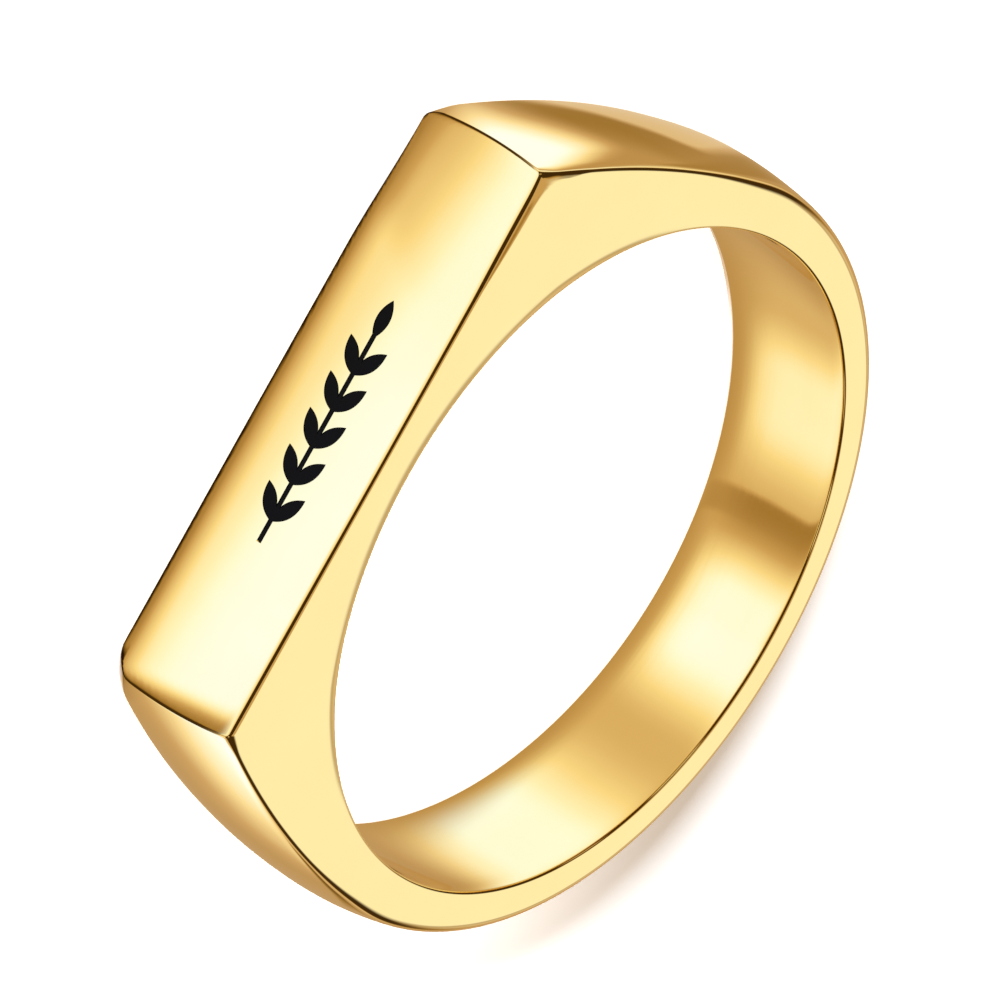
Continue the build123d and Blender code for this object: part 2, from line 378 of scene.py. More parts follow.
# Lengths in millimetres. Starts and ends are angles in radians from the plate's normal, and
# what is called more is added on the lower half of the band, or on the near shoulder.
RING_INPUTS = {
    "Bore radius": BORE_RADIUS,
    "Plate rise": PLATE_RISE,
    "Plate length": PLATE_LENGTH,
    "Plate offset": PLATE_OFFSET,
    "Band width": BAND_WIDTH,
    "Back width": BACK_WIDTH,
    "Back rise": BACK_RISE,
    "Shank radius": SHANK_RADIUS,
    "Shank centre": SHANK_CENTRE,
    "Shoulder end": math.radians(SHOULDER_END),
    "Join start": 1.30,
    "Join end": 1.63,
    # the lower edge's draw towards the -X end
    "Far taper": 0.13,
    "Taper start": 0.38,
    "Taper full": 0.66,
    "Taper ease": 0.68,
    "Taper end": 1.3,
    # bulge of the outer face
    "Corner crown": 0.12,
    "Shoulder crown": 0.31,
    "Shank crown": 0.22,
    "Crown start": 0.52,
    "Crown full": 1.08,
    "Crown ease": 1.15,
    "Crown end": 1.85,
    # fall of its margins, which is deep at the plate's corners
    "Corner fall": 0.10,
    "Lower fall more": 0.30,
    "Near fall more": 0.18,
    "Corner width": 0.30,
    "Lower width more": 0.55,
    "Corner start": 0.61,
    "Corner end": 0.70,
    "Lower corner more": 0.04,
    "Margin fall": 0.02,
    "Margin width": 0.30,
    # pillowed margins of the plate, and its fold into the shoulders
    "Pillow fall": 0.02,
    "Pillow width": 0.40,
    "Pillow limit": 1.5,
    "End pillow": 0.10,
    "Fold": 0.07,
    "Slope blend": 0.06,
    # side faces: the border along the outer edge, the far chamfer and the bore's rim
    "Border fall": 0.025,
    "Shank border fall": 0.01,
    "Border width": 0.30,
    "Border ease": 0.60,
    "Border end": 1.00,
    "Far chamfer": 0.24,
    "Chamfer slope": 0.30,
    "Chamfer easing": 0.06,
    "Chamfer start": 0.25,
    "Chamfer full": 0.645,
    "Chamfer ease": 0.65,
    "Chamfer end": 0.85,
    "Facet spread": 1.0,
    "Rim fall": 0.055,
    "Back rim fall": 0.02,
    "Rim width": 0.65,
    "Rim ease": 1.3,
    "Rim end": 2.2,
    # flare of the bore's lower end
    "Bore flare": 0.06,
    "Flare width": 2.0,
    "Flare limit": 1.3,
    # rolled edges
    "Rim roll": 0.36,
    "Lower rim more": -0.20,
    "Edge roll": 0.20,
    "Shoulder roll": 0.115,
    "Lower edge more": 0.10,
    "Fold start": 0.60,
    "Fold end": 0.72,
    "Shank roll": 0.70,
    "Roll start": math.radians(62),
    "Roll end": math.radians(108),
    # floors that keep a division from running away where its face isn't in reach
    "Least cosine": 0.08,
    "Least rate": 0.02,
}


def tree_with_inputs(name, sizes):
    """A geometry tree with a mesh in and out and one number input for each size."""
    tree = bpy.data.node_groups.new(name, "GeometryNodeTree")
    tree.interface.new_socket("Geometry", in_out="INPUT", socket_type="NodeSocketGeometry")
    tree.interface.new_socket("Geometry", in_out="OUTPUT", socket_type="NodeSocketGeometry")
    for size in sizes:
        tree.interface.new_socket(size, in_out="INPUT", socket_type="NodeSocketFloat")
    return tree


def take_steps(tree, values, steps):
    """Adds the nodes of a table of steps and puts their results under their names."""
    for name, operation, *terms in steps:
        links = {place: values.get(term, term) for place, term in enumerate(terms)}
        if operation == "SMOOTHSTEP":
            kind, settings = "ShaderNodeMapRange", {"interpolation_type": operation}
        else:
            kind, settings = "ShaderNodeMath", {"operation": operation}
        values[name] = add(tree, kind, {**settings, "label": name}, links).outputs[0]


def ring_tree(material):
    """Bends the blank round the bore and files it to shape, a node for each of its steps."""
    tree = tree_with_inputs("ring_bend_and_file", RING_INPUTS)
    blank = add(tree, "NodeGroupInput")
    values = {size: blank.outputs[size] for size in RING_INPUTS}
    for name in ("turn", "across", "rise", "inset"):
        named = add(tree, "GeometryNodeInputNamedAttribute", {"data_type": "FLOAT"}, {"Name": name})
        values[name] = named.outputs[0]
    take_steps(tree, values, RING_STEPS)
    place = add(tree, "ShaderNodeCombineXYZ", links={axis: values[axis.lower()] for axis in "XYZ"})
    metres = add(tree, "ShaderNodeVectorMath", {"operation": "SCALE"},
                 {"Vector": place.outputs[0], "Scale": MM})
    filed = add(tree, "GeometryNodeSetPosition",
                links={"Geometry": blank.outputs["Geometry"], "Position": metres.outputs[0]})
    real = add(tree, "GeometryNodeRealizeInstances", links={"Geometry": filed.outputs[0]})
    plated = add(tree, "GeometryNodeSetMaterial", links={"Geometry": real.outputs[0], "Material": material})
    add(tree, "NodeGroupOutput", links={"Geometry": plated.outputs[0]})
    return tree


def apply_tree(blank, tree, sizes, name):
    """Runs a tree on an object and gives back the result as a plain object."""
    bpy.context.collection.objects.link(blank)
    modifier = blank.modifiers.new(tree.name, "NODES")
    modifier.node_group = tree
    for item in tree.interface.items_tree:
        if item.in_out == "INPUT" and item.name in sizes:
            modifier[item.identifier] = sizes[item.name]
    shown = blank.evaluated_get(bpy.context.evaluated_depsgraph_get())
    mesh = bpy.data.meshes.new_from_object(shown)
    mesh.name = name
    bpy.data.objects.remove(blank)
    return mesh


# Inputs of a Mix node that blend two numbers, and two colours
FLOAT_A, FLOAT_B, COLOUR_A, COLOUR_B = 2, 3, 6, 7


def gold_plating():
    """Gold plating over buffed steel: a warm mirror. The buffing wheel leaves faint marks
    along the band, and the plating clouds a little in tone and polish."""
    material = bpy.data.materials.new("buffed_gold_plating")
    material.use_nodes = True
    tree = material.node_tree
    tree.nodes.clear()
    place = add(tree, "ShaderNodeTexCoord").outputs["Object"]
    # wheel marks 0.02 mm apart are too fine to show, so they are drawn 0.15 mm apart; they
    # run along the band, and round the bore on the side faces
    mark_length, mark_width, mark_depth = 2.5 * MM, 0.15 * MM, 0.0004 * MM
    cloud_width = 2.2 * MM
    along = add(tree, "ShaderNodeMapping", links={
        "Vector": place, "Scale": (1 / mark_length, 1 / mark_length, 1 / mark_width)})
    band_marks = add(tree, "ShaderNodeTexNoise", links={
        "Vector": along.outputs[0], "Scale": 1.0, "Detail": 2.0, "Roughness": 0.5})
    level = add(tree, "ShaderNodeVectorMath", {"operation": "MULTIPLY"}, {
        0: place, 1: (1.0, 1.0, 0.0)})
    radius = add(tree, "ShaderNodeVectorMath", {"operation": "LENGTH"}, {0: level.outputs[0]})
    rings = add(tree, "ShaderNodeMath", {"operation": "DIVIDE"}, {
        0: radius.outputs["Value"], 1: mark_width})
    side_marks = add(tree, "ShaderNodeTexNoise", {"noise_dimensions": "1D"}, {
        "W": rings.outputs[0], "Scale": 1.0, "Detail": 2.0, "Roughness": 0.5})
    facing = add(tree, "ShaderNodeNewGeometry").outputs["Normal"]
    up = add(tree, "ShaderNodeSeparateXYZ", links={0: facing})
    flat = add(tree, "ShaderNodeMath", {"operation": "ABSOLUTE"}, {0: up.outputs["Z"]})
    on_side = add(tree, "ShaderNodeMapRange", {"interpolation_type": "SMOOTHSTEP"}, {
        "Value": flat.outputs[0], "From Min": 0.75, "From Max": 0.95})
    marks = add(tree, "ShaderNodeMix", {"data_type": "FLOAT"}, {
        0: on_side.outputs[0], FLOAT_A: band_marks.outputs[0], FLOAT_B: side_marks.outputs[0]})
    clouds = add(tree, "ShaderNodeTexNoise", links={
        "Vector": place, "Scale": 1 / cloud_width, "Detail": 3.0, "Roughness": 0.55})
    tone = add(tree, "ShaderNodeMix", {"data_type": "RGBA"}, {
        0: clouds.outputs[0], COLOUR_A: linear("#F7E2A0"), COLOUR_B: linear("#F4DD97")})
    polish = add(tree, "ShaderNodeMath", {"operation": "ADD"}, {
        0: clouds.outputs[0], 1: marks.outputs[0]})
    roughness = add(tree, "ShaderNodeMapRange", links={
        "Value": polish.outputs[0], "From Min": 0.6, "From Max": 1.4, "To Min": 0.035, "To Max": 0.085})
    relief = add(tree, "ShaderNodeBump", links={
        "Height": marks.outputs[0], "Strength": 1.0, "Distance": mark_depth})
    gold = add(tree, "ShaderNodeBsdfPrincipled", links={
        "Base Color": tone.outputs[2],
        "Metallic": 1.0,
        "Roughness": roughness.outputs[0],
        "Normal": relief.outputs[0],
    })
    add(tree, "ShaderNodeOutputMaterial", links={"Surface": gold.outputs[0]})
    return material


ring_mesh = apply_tree(ring_blank(), ring_tree(gold_plating()), RING_INPUTS, "ring_body")
ring = bpy.data.objects.new("ring_body", ring_mesh)
bpy.context.collection.objects.link(ring)


# ---------------------------------------------------------------- engraved leaf sprig
# A small sprig of leaves is cut into the plate with a graver and filled with black enamel,
# which is wiped level and fired. The metal shows as a hair line round the filling.
SPRIG_LENGTH = 6.4
STEM_WIDTH = 0.1
LEAF_LENGTH = 0.98
LEAF_WIDTH = 0.36
LEAF_ANGLE = 36.0           # degrees between a leaf and the stem
LEAF_PAIRS = 5
STEM_FOOT = 0.55            # bare stem below the first pair
ENGRAVING_DEPTH = 0.15
INLAY_GAP = 0.02            # round and under the enamel
INLAY_DROP = 0.01           # the enamel's face below the plate's
CUTTER_ABOVE = 0.05         # so that the graver's solid stands clear of the plate
END_LEAF = SPRIG_LENGTH - LEAF_LENGTH
LEAF_COLUMNS, LEAF_ROWS = 25, 3     # points of the strip that a leaf is shaped from
MERGE_GAP = 0.001

SPRIG_INPUTS = {
    "Stem length": END_LEAF + LEAF_LENGTH / 4,
    "Stem width": STEM_WIDTH,
    "Leaf length": LEAF_LENGTH,
    "Leaf width": LEAF_WIDTH,
    "Leaf angle": math.radians(LEAF_ANGLE),
    "Pitch": (END_LEAF - STEM_FOOT) / LEAF_PAIRS,
    "Stem foot": STEM_FOOT,
    "End leaf": END_LEAF,
    "Grow": 0.0,
    "Top": 0.0,
    "Depth": 0.0,
}

# Sizes worked out from the tree's inputs, one step a row as for the ring
SPRIG_STEPS = [
    ("long", "MULTIPLY_ADD", "Grow", 2.0, "Leaf length"),
    ("wide", "MULTIPLY_ADD", "Grow", 2.0, "Leaf width"),
    ("stem_long", "MULTIPLY_ADD", "Grow", 2.0, "Stem length"),
    ("stem_wide", "MULTIPLY_ADD", "Grow", 2.0, "Stem width"),
    ("half_long", "MULTIPLY", "long", 0.5),
    ("leaf_shift", "SUBTRACT", "half_long", "Grow"),
    ("stem_shift", "MULTIPLY", "Stem length", 0.5),
    ("minus_angle", "MULTIPLY", "Leaf angle", -1.0),
    ("fall", "MULTIPLY", "Depth", -1.0),
]


def sprig_tree(material):
    """Stem, pairs of leaves and an end leaf as flat strips, given their depth and joined."""
    tree = tree_with_inputs("leaf_sprig", SPRIG_INPUTS)
    sizes = add(tree, "NodeGroupInput")
    values = {size: sizes.outputs[size] for size in SPRIG_INPUTS}
    take_steps(tree, values, SPRIG_STEPS)
    strip = add(tree, "GeometryNodeMeshGrid", links={
        "Size X": values["long"],
        "Size Y": values["wide"],
        "Vertices X": LEAF_COLUMNS,
        "Vertices Y": LEAF_ROWS,
    })
    position = add(tree, "GeometryNodeInputPosition")
    apart = add(tree, "ShaderNodeSeparateXYZ", links={0: position.outputs[0]})
    values["x"], values["y"] = apart.outputs["X"], apart.outputs["Y"]
    take_steps(tree, values, [
        ("way", "DIVIDE", "x", "half_long"),
        ("way_square", "MULTIPLY", "way", "way"),
        ("fullness", "SUBTRACT", 1.0, "way_square"),
        ("leaf_y", "MULTIPLY", "y", "fullness"),
        ("leaf_x", "ADD", "x", "leaf_shift"),
    ])
    outline = add(tree, "ShaderNodeCombineXYZ", links={"X": values["leaf_x"], "Y": values["leaf_y"]})
    shaped = add(tree, "GeometryNodeSetPosition", links={
        "Geometry": strip.outputs["Mesh"], "Position": outline.outputs[0]})
    leaf = add(tree, "GeometryNodeMergeByDistance", links={
        "Geometry": shaped.outputs[0], "Distance": MERGE_GAP})
    first = add(tree, "ShaderNodeCombineXYZ", links={"X": values["Stem foot"]})
    step = add(tree, "ShaderNodeCombineXYZ", links={"X": values["Pitch"]})
    leaf_feet = add(tree, "GeometryNodeMeshLine", {"mode": "OFFSET"}, {
        "Count": LEAF_PAIRS, "Start Location": first.outputs[0], "Offset": step.outputs[0]})
    parts = add(tree, "GeometryNodeJoinGeometry")
    for turn in ("Leaf angle", "minus_angle"):
        lean = add(tree, "ShaderNodeCombineXYZ", links={"Z": values[turn]})
        row = add(tree, "GeometryNodeInstanceOnPoints", links={
            "Points": leaf_feet.outputs[0], "Instance": leaf.outputs[0], "Rotation": lean.outputs[0]})
        tree.links.new(row.outputs[0], parts.inputs[0])
    tip = add(tree, "ShaderNodeCombineXYZ", links={"X": values["End leaf"]})
    last = add(tree, "GeometryNodeTransform", links={
        "Geometry": leaf.outputs[0], "Translation": tip.outputs[0]})
    tree.links.new(last.outputs[0], parts.inputs[0])
    rod = add(tree, "GeometryNodeMeshGrid", links={
        "Size X": values["stem_long"],
        "Size Y": values["stem_wide"],
        "Vertices X": 2,
        "Vertices Y": 2,
    })
    middle = add(tree, "ShaderNodeCombineXYZ", links={"X": values["stem_shift"]})
    stem = add(tree, "GeometryNodeTransform", links={
        "Geometry": rod.outputs["Mesh"], "Translation": middle.outputs[0]})
    tree.links.new(stem.outputs[0], parts.inputs[0])
    flat = add(tree, "GeometryNodeRealizeInstances", links={"Geometry": parts.outputs[0]})
    down = add(tree, "ShaderNodeCombineXYZ", links={"Z": values["fall"]})
    sunk = add(tree, "GeometryNodeExtrudeMesh", {"mode": "FACES"}, {
        "Mesh": flat.outputs[0],
        "Offset": down.outputs[0],
        "Offset Scale": 1.0,
        "Individual": False,
    })
    turned = add(tree, "GeometryNodeFlipFaces", links={"Mesh": sunk.outputs["Mesh"]})
    shut = add(tree, "GeometryNodeJoinGeometry")
    tree.links.new(turned.outputs[0], shut.inputs[0])
    tree.links.new(flat.outputs[0], shut.inputs[0])
    closed = add(tree, "GeometryNodeMergeByDistance", links={
        "Geometry": shut.outputs[0], "Distance": MERGE_GAP})
    union = add(tree, "GeometryNodeMeshBoolean", {"operation": "UNION", "solver": "EXACT"}, {
        "Mesh 2": closed.outputs[0], "Self Intersection": True})
    height = add(tree, "ShaderNodeCombineXYZ", links={"Z": values["Top"]})
    set_down = add(tree, "GeometryNodeTransform", links={
        "Geometry": union.outputs["Mesh"], "Translation": height.outputs[0]})
    real = add(tree, "GeometryNodeRealizeInstances", links={"Geometry": set_down.outputs[0]})
    filled = add(tree, "GeometryNodeSetMaterial", links={
        "Geometry": real.outputs[0], "Material": material})
    add(tree, "NodeGroupOutput", links={"Geometry": filled.outputs[0]})
    return tree


def black_enamel():
    """Fired black enamel, stoned level with the plate: near black and a little dull, with the
    pits of burst bubbles."""
    material = bpy.data.materials.new("fired_black_enamel")
    material.use_nodes = True
    tree = material.node_tree
    tree.nodes.clear()
    place = add(tree, "ShaderNodeTexCoord").outputs["Object"]
    # grain 0.05 mm wide, and bubbles 0.12 mm apart
    grain_width, bubble_width, pit_depth = 0.05 * MM, 0.12 * MM, 0.004 * MM
    grain = add(tree, "ShaderNodeTexNoise", links={
        "Vector": place, "Scale": 1 / grain_width, "Detail": 3.0, "Roughness": 0.6})
    bubbles = add(tree, "ShaderNodeTexVoronoi", links={"Vector": place, "Scale": 1 / bubble_width})
    pits = add(tree, "ShaderNodeMapRange", {"interpolation_type": "SMOOTHSTEP"}, {
        "Value": bubbles.outputs["Distance"], "From Min": 0.05, "From Max": 0.22})
    tone = add(tree, "ShaderNodeMix", {"data_type": "RGBA"}, {
        0: grain.outputs[0], COLOUR_A: linear("#040303"), COLOUR_B: linear("#0A0908")})
    roughness = add(tree, "ShaderNodeMapRange", links={
        "Value": grain.outputs[0], "From Min": 0.3, "From Max": 0.7, "To Min": 0.38, "To Max": 0.55})
    relief = add(tree, "ShaderNodeBump", links={
        "Height": pits.outputs[0], "Strength": 0.6, "Distance": pit_depth})
    glass = add(tree, "ShaderNodeBsdfPrincipled", links={
        "Base Color": tone.outputs[2],
        "Roughness": roughness.outputs[0],
        "Specular IOR Level": 0.05,
        "Normal": relief.outputs[0],
    })
    add(tree, "ShaderNodeOutputMaterial", links={"Surface": glass.outputs[0]})
    return material


def sprig_solid(tree, name, **sizes):
    """The sprig as a solid on the plate: its foot towards +X, its tip towards -X."""
    plain = bpy.data.objects.new(name, bpy.data.meshes.new(name))
    mesh = apply_tree(plain, tree, {**SPRIG_INPUTS, **sizes}, name)
    turn = Matrix(((-1, 0, 0), (0, 0, -1), (0, -1, 0))).to_4x4()
    place = Vector((PLATE_OFFSET + SPRIG_LENGTH / 2, -PLATE_RISE, BAND_WIDTH / 2))
    mesh.transform(Matrix.Scale(MM, 4) @ Matrix.Translation(place) @ turn)
    solid = bpy.data.objects.new(name, mesh)
    bpy.context.collection.objects.link(solid)
    return solid


sprig = sprig_tree(black_enamel())
graver_depth = ENGRAVING_DEPTH + CUTTER_ABOVE
graver = sprig_solid(sprig, "graver_cut", Grow=INLAY_GAP, Top=CUTTER_ABOVE, Depth=graver_depth)
cut = ring.modifiers.new("engraving", "BOOLEAN")
cut.operation = "DIFFERENCE"
cut.solver = "EXACT"
cut.object = graver
engraved = ring.evaluated_get(bpy.context.evaluated_depsgraph_get())
cut_mesh = bpy.data.meshes.new_from_object(engraved)
ring.modifiers.remove(cut)
ring.data = cut_mesh
cut_mesh.name = "ring_body"
bpy.data.objects.remove(graver)
SHARP_FROM = 35.0           # degrees between faces, as at the engraving's edges
cut_mesh.shade_smooth()
cut_mesh.set_sharp_from_angle(angle=math.radians(SHARP_FROM))
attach(ring, "root")
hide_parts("ring")

enamel_depth = ENGRAVING_DEPTH - INLAY_GAP - INLAY_DROP
enamel = sprig_solid(sprig, "sprig_enamel", Top=-INLAY_DROP, Depth=enamel_depth)
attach(enamel, "root")
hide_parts("engraving_inlay")


# ---------------------------------------------------------------- floor
# A plain sheet of pale matt card that the ring lies on. It glows a little, so that the shade
# behind the shank stays soft and warm.
def pale_floor():
    """Matt off-white card."""
    material = bpy.data.materials.new("pale_floor")
    material.use_nodes = True
    tree = material.node_tree
    tree.nodes.clear()
    card = add(tree, "ShaderNodeBsdfPrincipled", links={
        "Base Color": linear("#F4F4F4"),
        "Roughness": 0.7,
        "Specular IOR Level": 0.0,
        "Emission Color": linear("#FFE3C4"),
        "Emission Strength": 0.50,
    })
    add(tree, "ShaderNodeOutputMaterial", links={"Surface": card.outputs[0]})
    return material


FLOOR_HALF = 0.9            # metres
floor_corners = [(x * FLOOR_HALF, y * FLOOR_HALF, 0) for x, y in ((-1, -1), (1, -1), (1, 1), (-1, 1))]
floor_mesh = bpy.data.meshes.new("floor")
floor_mesh.from_pydata(floor_corners, [], [(0, 1, 2, 3)])
floor_mesh.materials.append(pale_floor())
floor = bpy.data.objects.new("floor", floor_mesh)
floor.visible_glossy = False
bpy.context.collection.objects.link(floor)


# ---------------------------------------------------------------- cards and tent
# Polished metal shows only what stands round it, so it has its own surroundings, as in a
# jewellery photographer's light tent: pale and brown cards laid round the ring, a softbox
# behind it and a dim warm tent. Only the metal mirrors them, and they light nothing else.
# The cards on the floor carry painted shade: their brown ground and the black strips at
# the ring's foot stand for the ring's shade on the floor, as the metal would mirror it.

# Cards laid on the floor, in the order they are laid. Place and half size in millimetres,
# turn in degrees. Soft is how much of the half size the edge fades over, and light runs
# from 0, black, to 1, white.
FLOOR_CARDS = [
    # name, x, y, half x, half y, turn, soft, light
    # painted shade: a brown strip along the plate's foot, for the ring's shade on the floor
    ("plate_foot_shade_brown", 0.0, -9.4, 7.8, 0.9, 0, 0.20, 0.36),
    ("plate_card_gold", 0.05, -20.95, 9.5, 10.3, 0, 0.07, 0.78),
    ("plate_card_cream", 0.0, -22.4, 12.0, 10.0, 8, 0.16, 0.95),
    ("plate_card_white", 3.8, -19.6, 5.2, 6.6, 8, 0.35, 1.00),
    ("far_side_flag", -10.25, -4.2, 1.3, 6.5, 26, 0.90, 0.31),
    ("far_back_flag", -15.0, 3.9, 3.6, 1.3, 8, 0.60, 0.36),
    ("far_side_cream", -12.0, -6.9, 1.7, 3.8, 43, 0.55, 0.98),
    ("far_side_tan", -8.6, -3.5, 1.5, 6.5, 26, 0.12, 0.61),
    ("near_side_warm", 15.4, -2.6, 3.0, 8.0, -25, 0.50, 0.70),
    ("near_side_cream", 14.2, -6.4, 2.4, 6.0, -35, 0.58, 1.00),
    ("near_back_flag", 15.2, 4.2, 2.2, 0.8, -20, 0.60, 0.15),
    ("near_end_shade", 9.75, -13.6, 2.3, 4.2, 0, 0.17, 0.34),
    ("far_corner_flag", -11.48, -13.32, 3.4, 4.0, -9, 0.06, 0.03),
    ("near_corner_flag", 11.33, -13.32, 3.4, 4.0, 9, 0.06, 0.03),
    # painted shade: black strips under the plate's foot and at its corners, for the ring's contact shadow
    ("plate_foot_shade_black", 0.0, -9.08, 7.5, 0.9, 0, 0.05, 0.00),
    ("near_foot_shade_black", 7.45, -9.90, 0.60, 0.33, 0, 0.10, 0.00),
    ("far_foot_shade_black", -7.85, -9.82, 0.52, 0.27, 0, 0.10, 0.00),
]
# painted shade: the ground is brown, for the ring's shade on the floor round it
FLOOR_GROUND = 0.46         # light between the cards

# Their sheet is a flat ring, and fades in round its hole and out at its rim
FLOOR_HOLE, FLOOR_HOLE_SOFT = 8.1, 0.08
FLOOR_RIM, FLOOR_RIM_SOFT = 19.0, 0.10
FLOOR_LIFT = 0.02           # millimetres above the floor

# The tent round the ring, as directions in degrees: azimuth from straight in front of the
# plate towards +X, and elevation.
TENT_CARDS = [
    # name, azimuth, elevation, half azimuth, half elevation, turn, soft, light
    ("below", 0, -60, 180, 55, 0, 0.10, 0.60),
    ("below_back", 180, -60, 22, 55, 0, 0.70, 0.44),
    ("below_near", 79, -60, 21, 52, 0, 0.80, 0.92),
    ("below_far", -100, -60, 29, 52, 0, 0.90, 1.00),
    ("below_flag", 21.5, -60, 21.5, 52, 0, 0.06, 0.33),
    ("below_front", 0, -60, 24.5, 52, 0, 0.67, 1.00),
    ("below_floor", 0, -68.2, 400, 30, 1.2, 0.14, 0.57),
    ("below_flag_foot", 38, -74, 5, 36, 0, 0.20, 0.36),
    ("horizon", 0, 24, 180, 32, 0, 0.10, 0.03),
    ("back_low", 180, -6, 24, 28, 0, 0.25, 0.50),
    ("side_near", 87, 19, 8, 10, 0, 0.20, 0.55),
    ("side_far", -87, 19, 8, 10, 0, 0.20, 0.55),
    ("front_near", 45, 16, 12, 8, 0, 0.25, 0.75),
    ("front_far", -45, 16, 12, 8, 0, 0.25, 0.75),
    ("above_back", 180, 57, 45, 12, 0, 0.30, 0.46),
    ("overhead", 0, 90, 180, 34, 0, 0.05, 0.52),
]
TENT_GROUND = 0.03
TENT_DISTANCE = 1.3         # metres

# The softbox hangs inside the tent, and here the last number is how much of it shows
SOFTBOX_CARDS = [
    ("cloth", 180, 37, 25, 17, 0, 0.42, 1.00),
    ("cloth_foot", 180, 10, 24, 13, 0, 0.25, 0.25),
]
SOFTBOX_DISTANCE = 1.1

# Points of the three sheets: from, to, steps
FLOOR_RADII, FLOOR_AZIMUTHS = (7.0, 21.0, 140), (-180, 180, 540)
TENT_ELEVATIONS, TENT_AZIMUTHS = (-90, 90, 90), (-180, 180, 180)
SOFTBOX_ELEVATIONS, SOFTBOX_AZIMUTHS = (5, 70, 65), (110, 250, 70)

CARD_SQUARENESS = 8         # 2 would make the cards round
FULL_TURN = 360


def soft_share(offset_u, offset_v, card):
    """How much of a card shows at an offset from its middle: 1 on it, 0 well outside."""
    half_u, half_v, turn, soft = card
    cosine, sine = math.cos(math.radians(turn)), math.sin(math.radians(turn))
    along = (offset_u * cosine + offset_v * sine) / half_u
    aside = (offset_v * cosine - offset_u * sine) / half_v
    distance = (along ** CARD_SQUARENESS + aside ** CARD_SQUARENESS) ** (1 / CARD_SQUARENESS)
    way = min(max((1 + soft - distance) / (2 * soft), 0), 1)
    return way * way * (3 - 2 * way)


def light_at(cards, ground, u, v, period=0):
    """Light of the uppermost cards at a place, on a ground. With a period, u runs round."""
    light = ground
    for _, card_u, card_v, half_u, half_v, turn, soft, tone in cards:
        offset = u - card_u
        if period:
            offset = (offset + period / 2) % period - period / 2
        light += (tone - light) * soft_share(offset, v - card_v, (half_u, half_v, turn, soft))
    return light


def card_light(name, colours, strength):
    """Light of a soft card: its colour follows its brightness, and its cover fades it out."""
    material = bpy.data.materials.new(name)
    material.use_nodes = True
    material.cycles.emission_sampling = "NONE"
    tree = material.node_tree
    tree.nodes.clear()
    light = add(tree, "ShaderNodeAttribute", {"attribute_name": "light"})
    cover = add(tree, "ShaderNodeAttribute", {"attribute_name": "cover"})
    ramp = add(tree, "ShaderNodeValToRGB", links={"Fac": light.outputs["Fac"]})
    stops = ramp.color_ramp.elements
    while len(stops) < len(colours):
        stops.new(1.0)
    for stop, (place, colour) in zip(stops, colours):
        stop.position = place
        stop.color = linear(colour)
    glow = add(tree, "ShaderNodeEmission", links={"Color": ramp.outputs["Color"], "Strength": strength})
    clear = add(tree, "ShaderNodeBsdfTransparent")
    both = add(tree, "ShaderNodeMixShader", links={
        0: cover.outputs["Fac"], 1: clear.outputs[0], 2: glow.outputs[0]})
    add(tree, "ShaderNodeOutputMaterial", links={"Surface": both.outputs[0]})
    return material


def evenly(start, end, count):
    """Even steps from start to end."""
    return [start + (end - start) * k / count for k in range(count + 1)]


def only_mirrored(name, rows, columns, point_at, light_of, cover_of, material):
    """A sheet of cards that only the polished metal sees, its light kept on its points."""
    rows, columns = evenly(*rows), evenly(*columns)
    places = [(row, column) for row in rows for column in columns]
    faces = []
    for i in range(len(rows) - 1):
        for j in range(len(columns) - 1):
            first = i * len(columns) + j
            faces.append((first, first + 1, first + 1 + len(columns), first + len(columns)))
    mesh = bpy.data.meshes.new(name)
    mesh.from_pydata([point_at(*place) for place in places], [], faces)
    for attribute, value_of in (("light", light_of), ("cover", cover_of)):
        values = [value_of(*place) for place in places]
        mesh.attributes.new(attribute, "FLOAT", "POINT").data.foreach_set("value", values)
    mesh.materials.append(material)
    sheet = bpy.data.objects.new(name, mesh)
    for view in ("camera", "diffuse", "transmission", "volume_scatter", "shadow"):
        setattr(sheet, "visible_" + view, False)
    bpy.context.collection.objects.link(sheet)


def on_floor(radius, azimuth):
    """X and Y of a place round the bore's axis, with azimuth 0 in front of the plate."""
    turn = math.radians(azimuth)
    return radius * math.sin(turn), -radius * math.cos(turn)


def floor_point(radius, azimuth):
    x, y = on_floor(radius, azimuth)
    return x * MM, y * MM, FLOOR_LIFT * MM


def floor_light(radius, azimuth):
    return light_at(FLOOR_CARDS, FLOOR_GROUND, *on_floor(radius, azimuth))


def floor_cover(radius, azimuth):
    inside = soft_share(radius, 0, (FLOOR_HOLE, 1, 0, FLOOR_HOLE_SOFT))
    outside = soft_share(radius, 0, (FLOOR_RIM, 1, 0, FLOOR_RIM_SOFT))
    return outside * (1 - inside)


def tent_light(elevation, azimuth):
    return light_at(TENT_CARDS, TENT_GROUND, azimuth, elevation, FULL_TURN)


def softbox_cover(elevation, azimuth):
    return light_at(SOFTBOX_CARDS, 0, azimuth, elevation)


def everywhere(row, column):
    return 1.0


def on_dome(distance):
    """Gives a function for the point at an elevation and azimuth, this far from the ring."""
    def point_at(elevation, azimuth):
        level = distance * math.cos(math.radians(elevation))
        x, y = on_floor(level, azimuth)
        return x, y, distance * math.sin(math.radians(elevation))
    return point_at


# Brown where it is dark and bluish where it is bright, which the gold turns to cream and white
warm_cards = card_light("warm_cards", [
    (0.00, "#180B03"),
    (0.30, "#6F552B"),
    (0.40, "#7D6442"),
    (0.55, "#947C5E"),
    (0.75, "#B5AA93"),
    (0.82, "#B7B6B4"),
    (0.88, "#B9BEC9"),
    (0.94, "#B7C6E7"),
    (1.00, "#B9C9FF"),
], strength=2.3)
softbox_cloth = card_light("softbox_cloth", [(0.0, "#000000"), (1.0, "#FFFFFF")], strength=1.12)

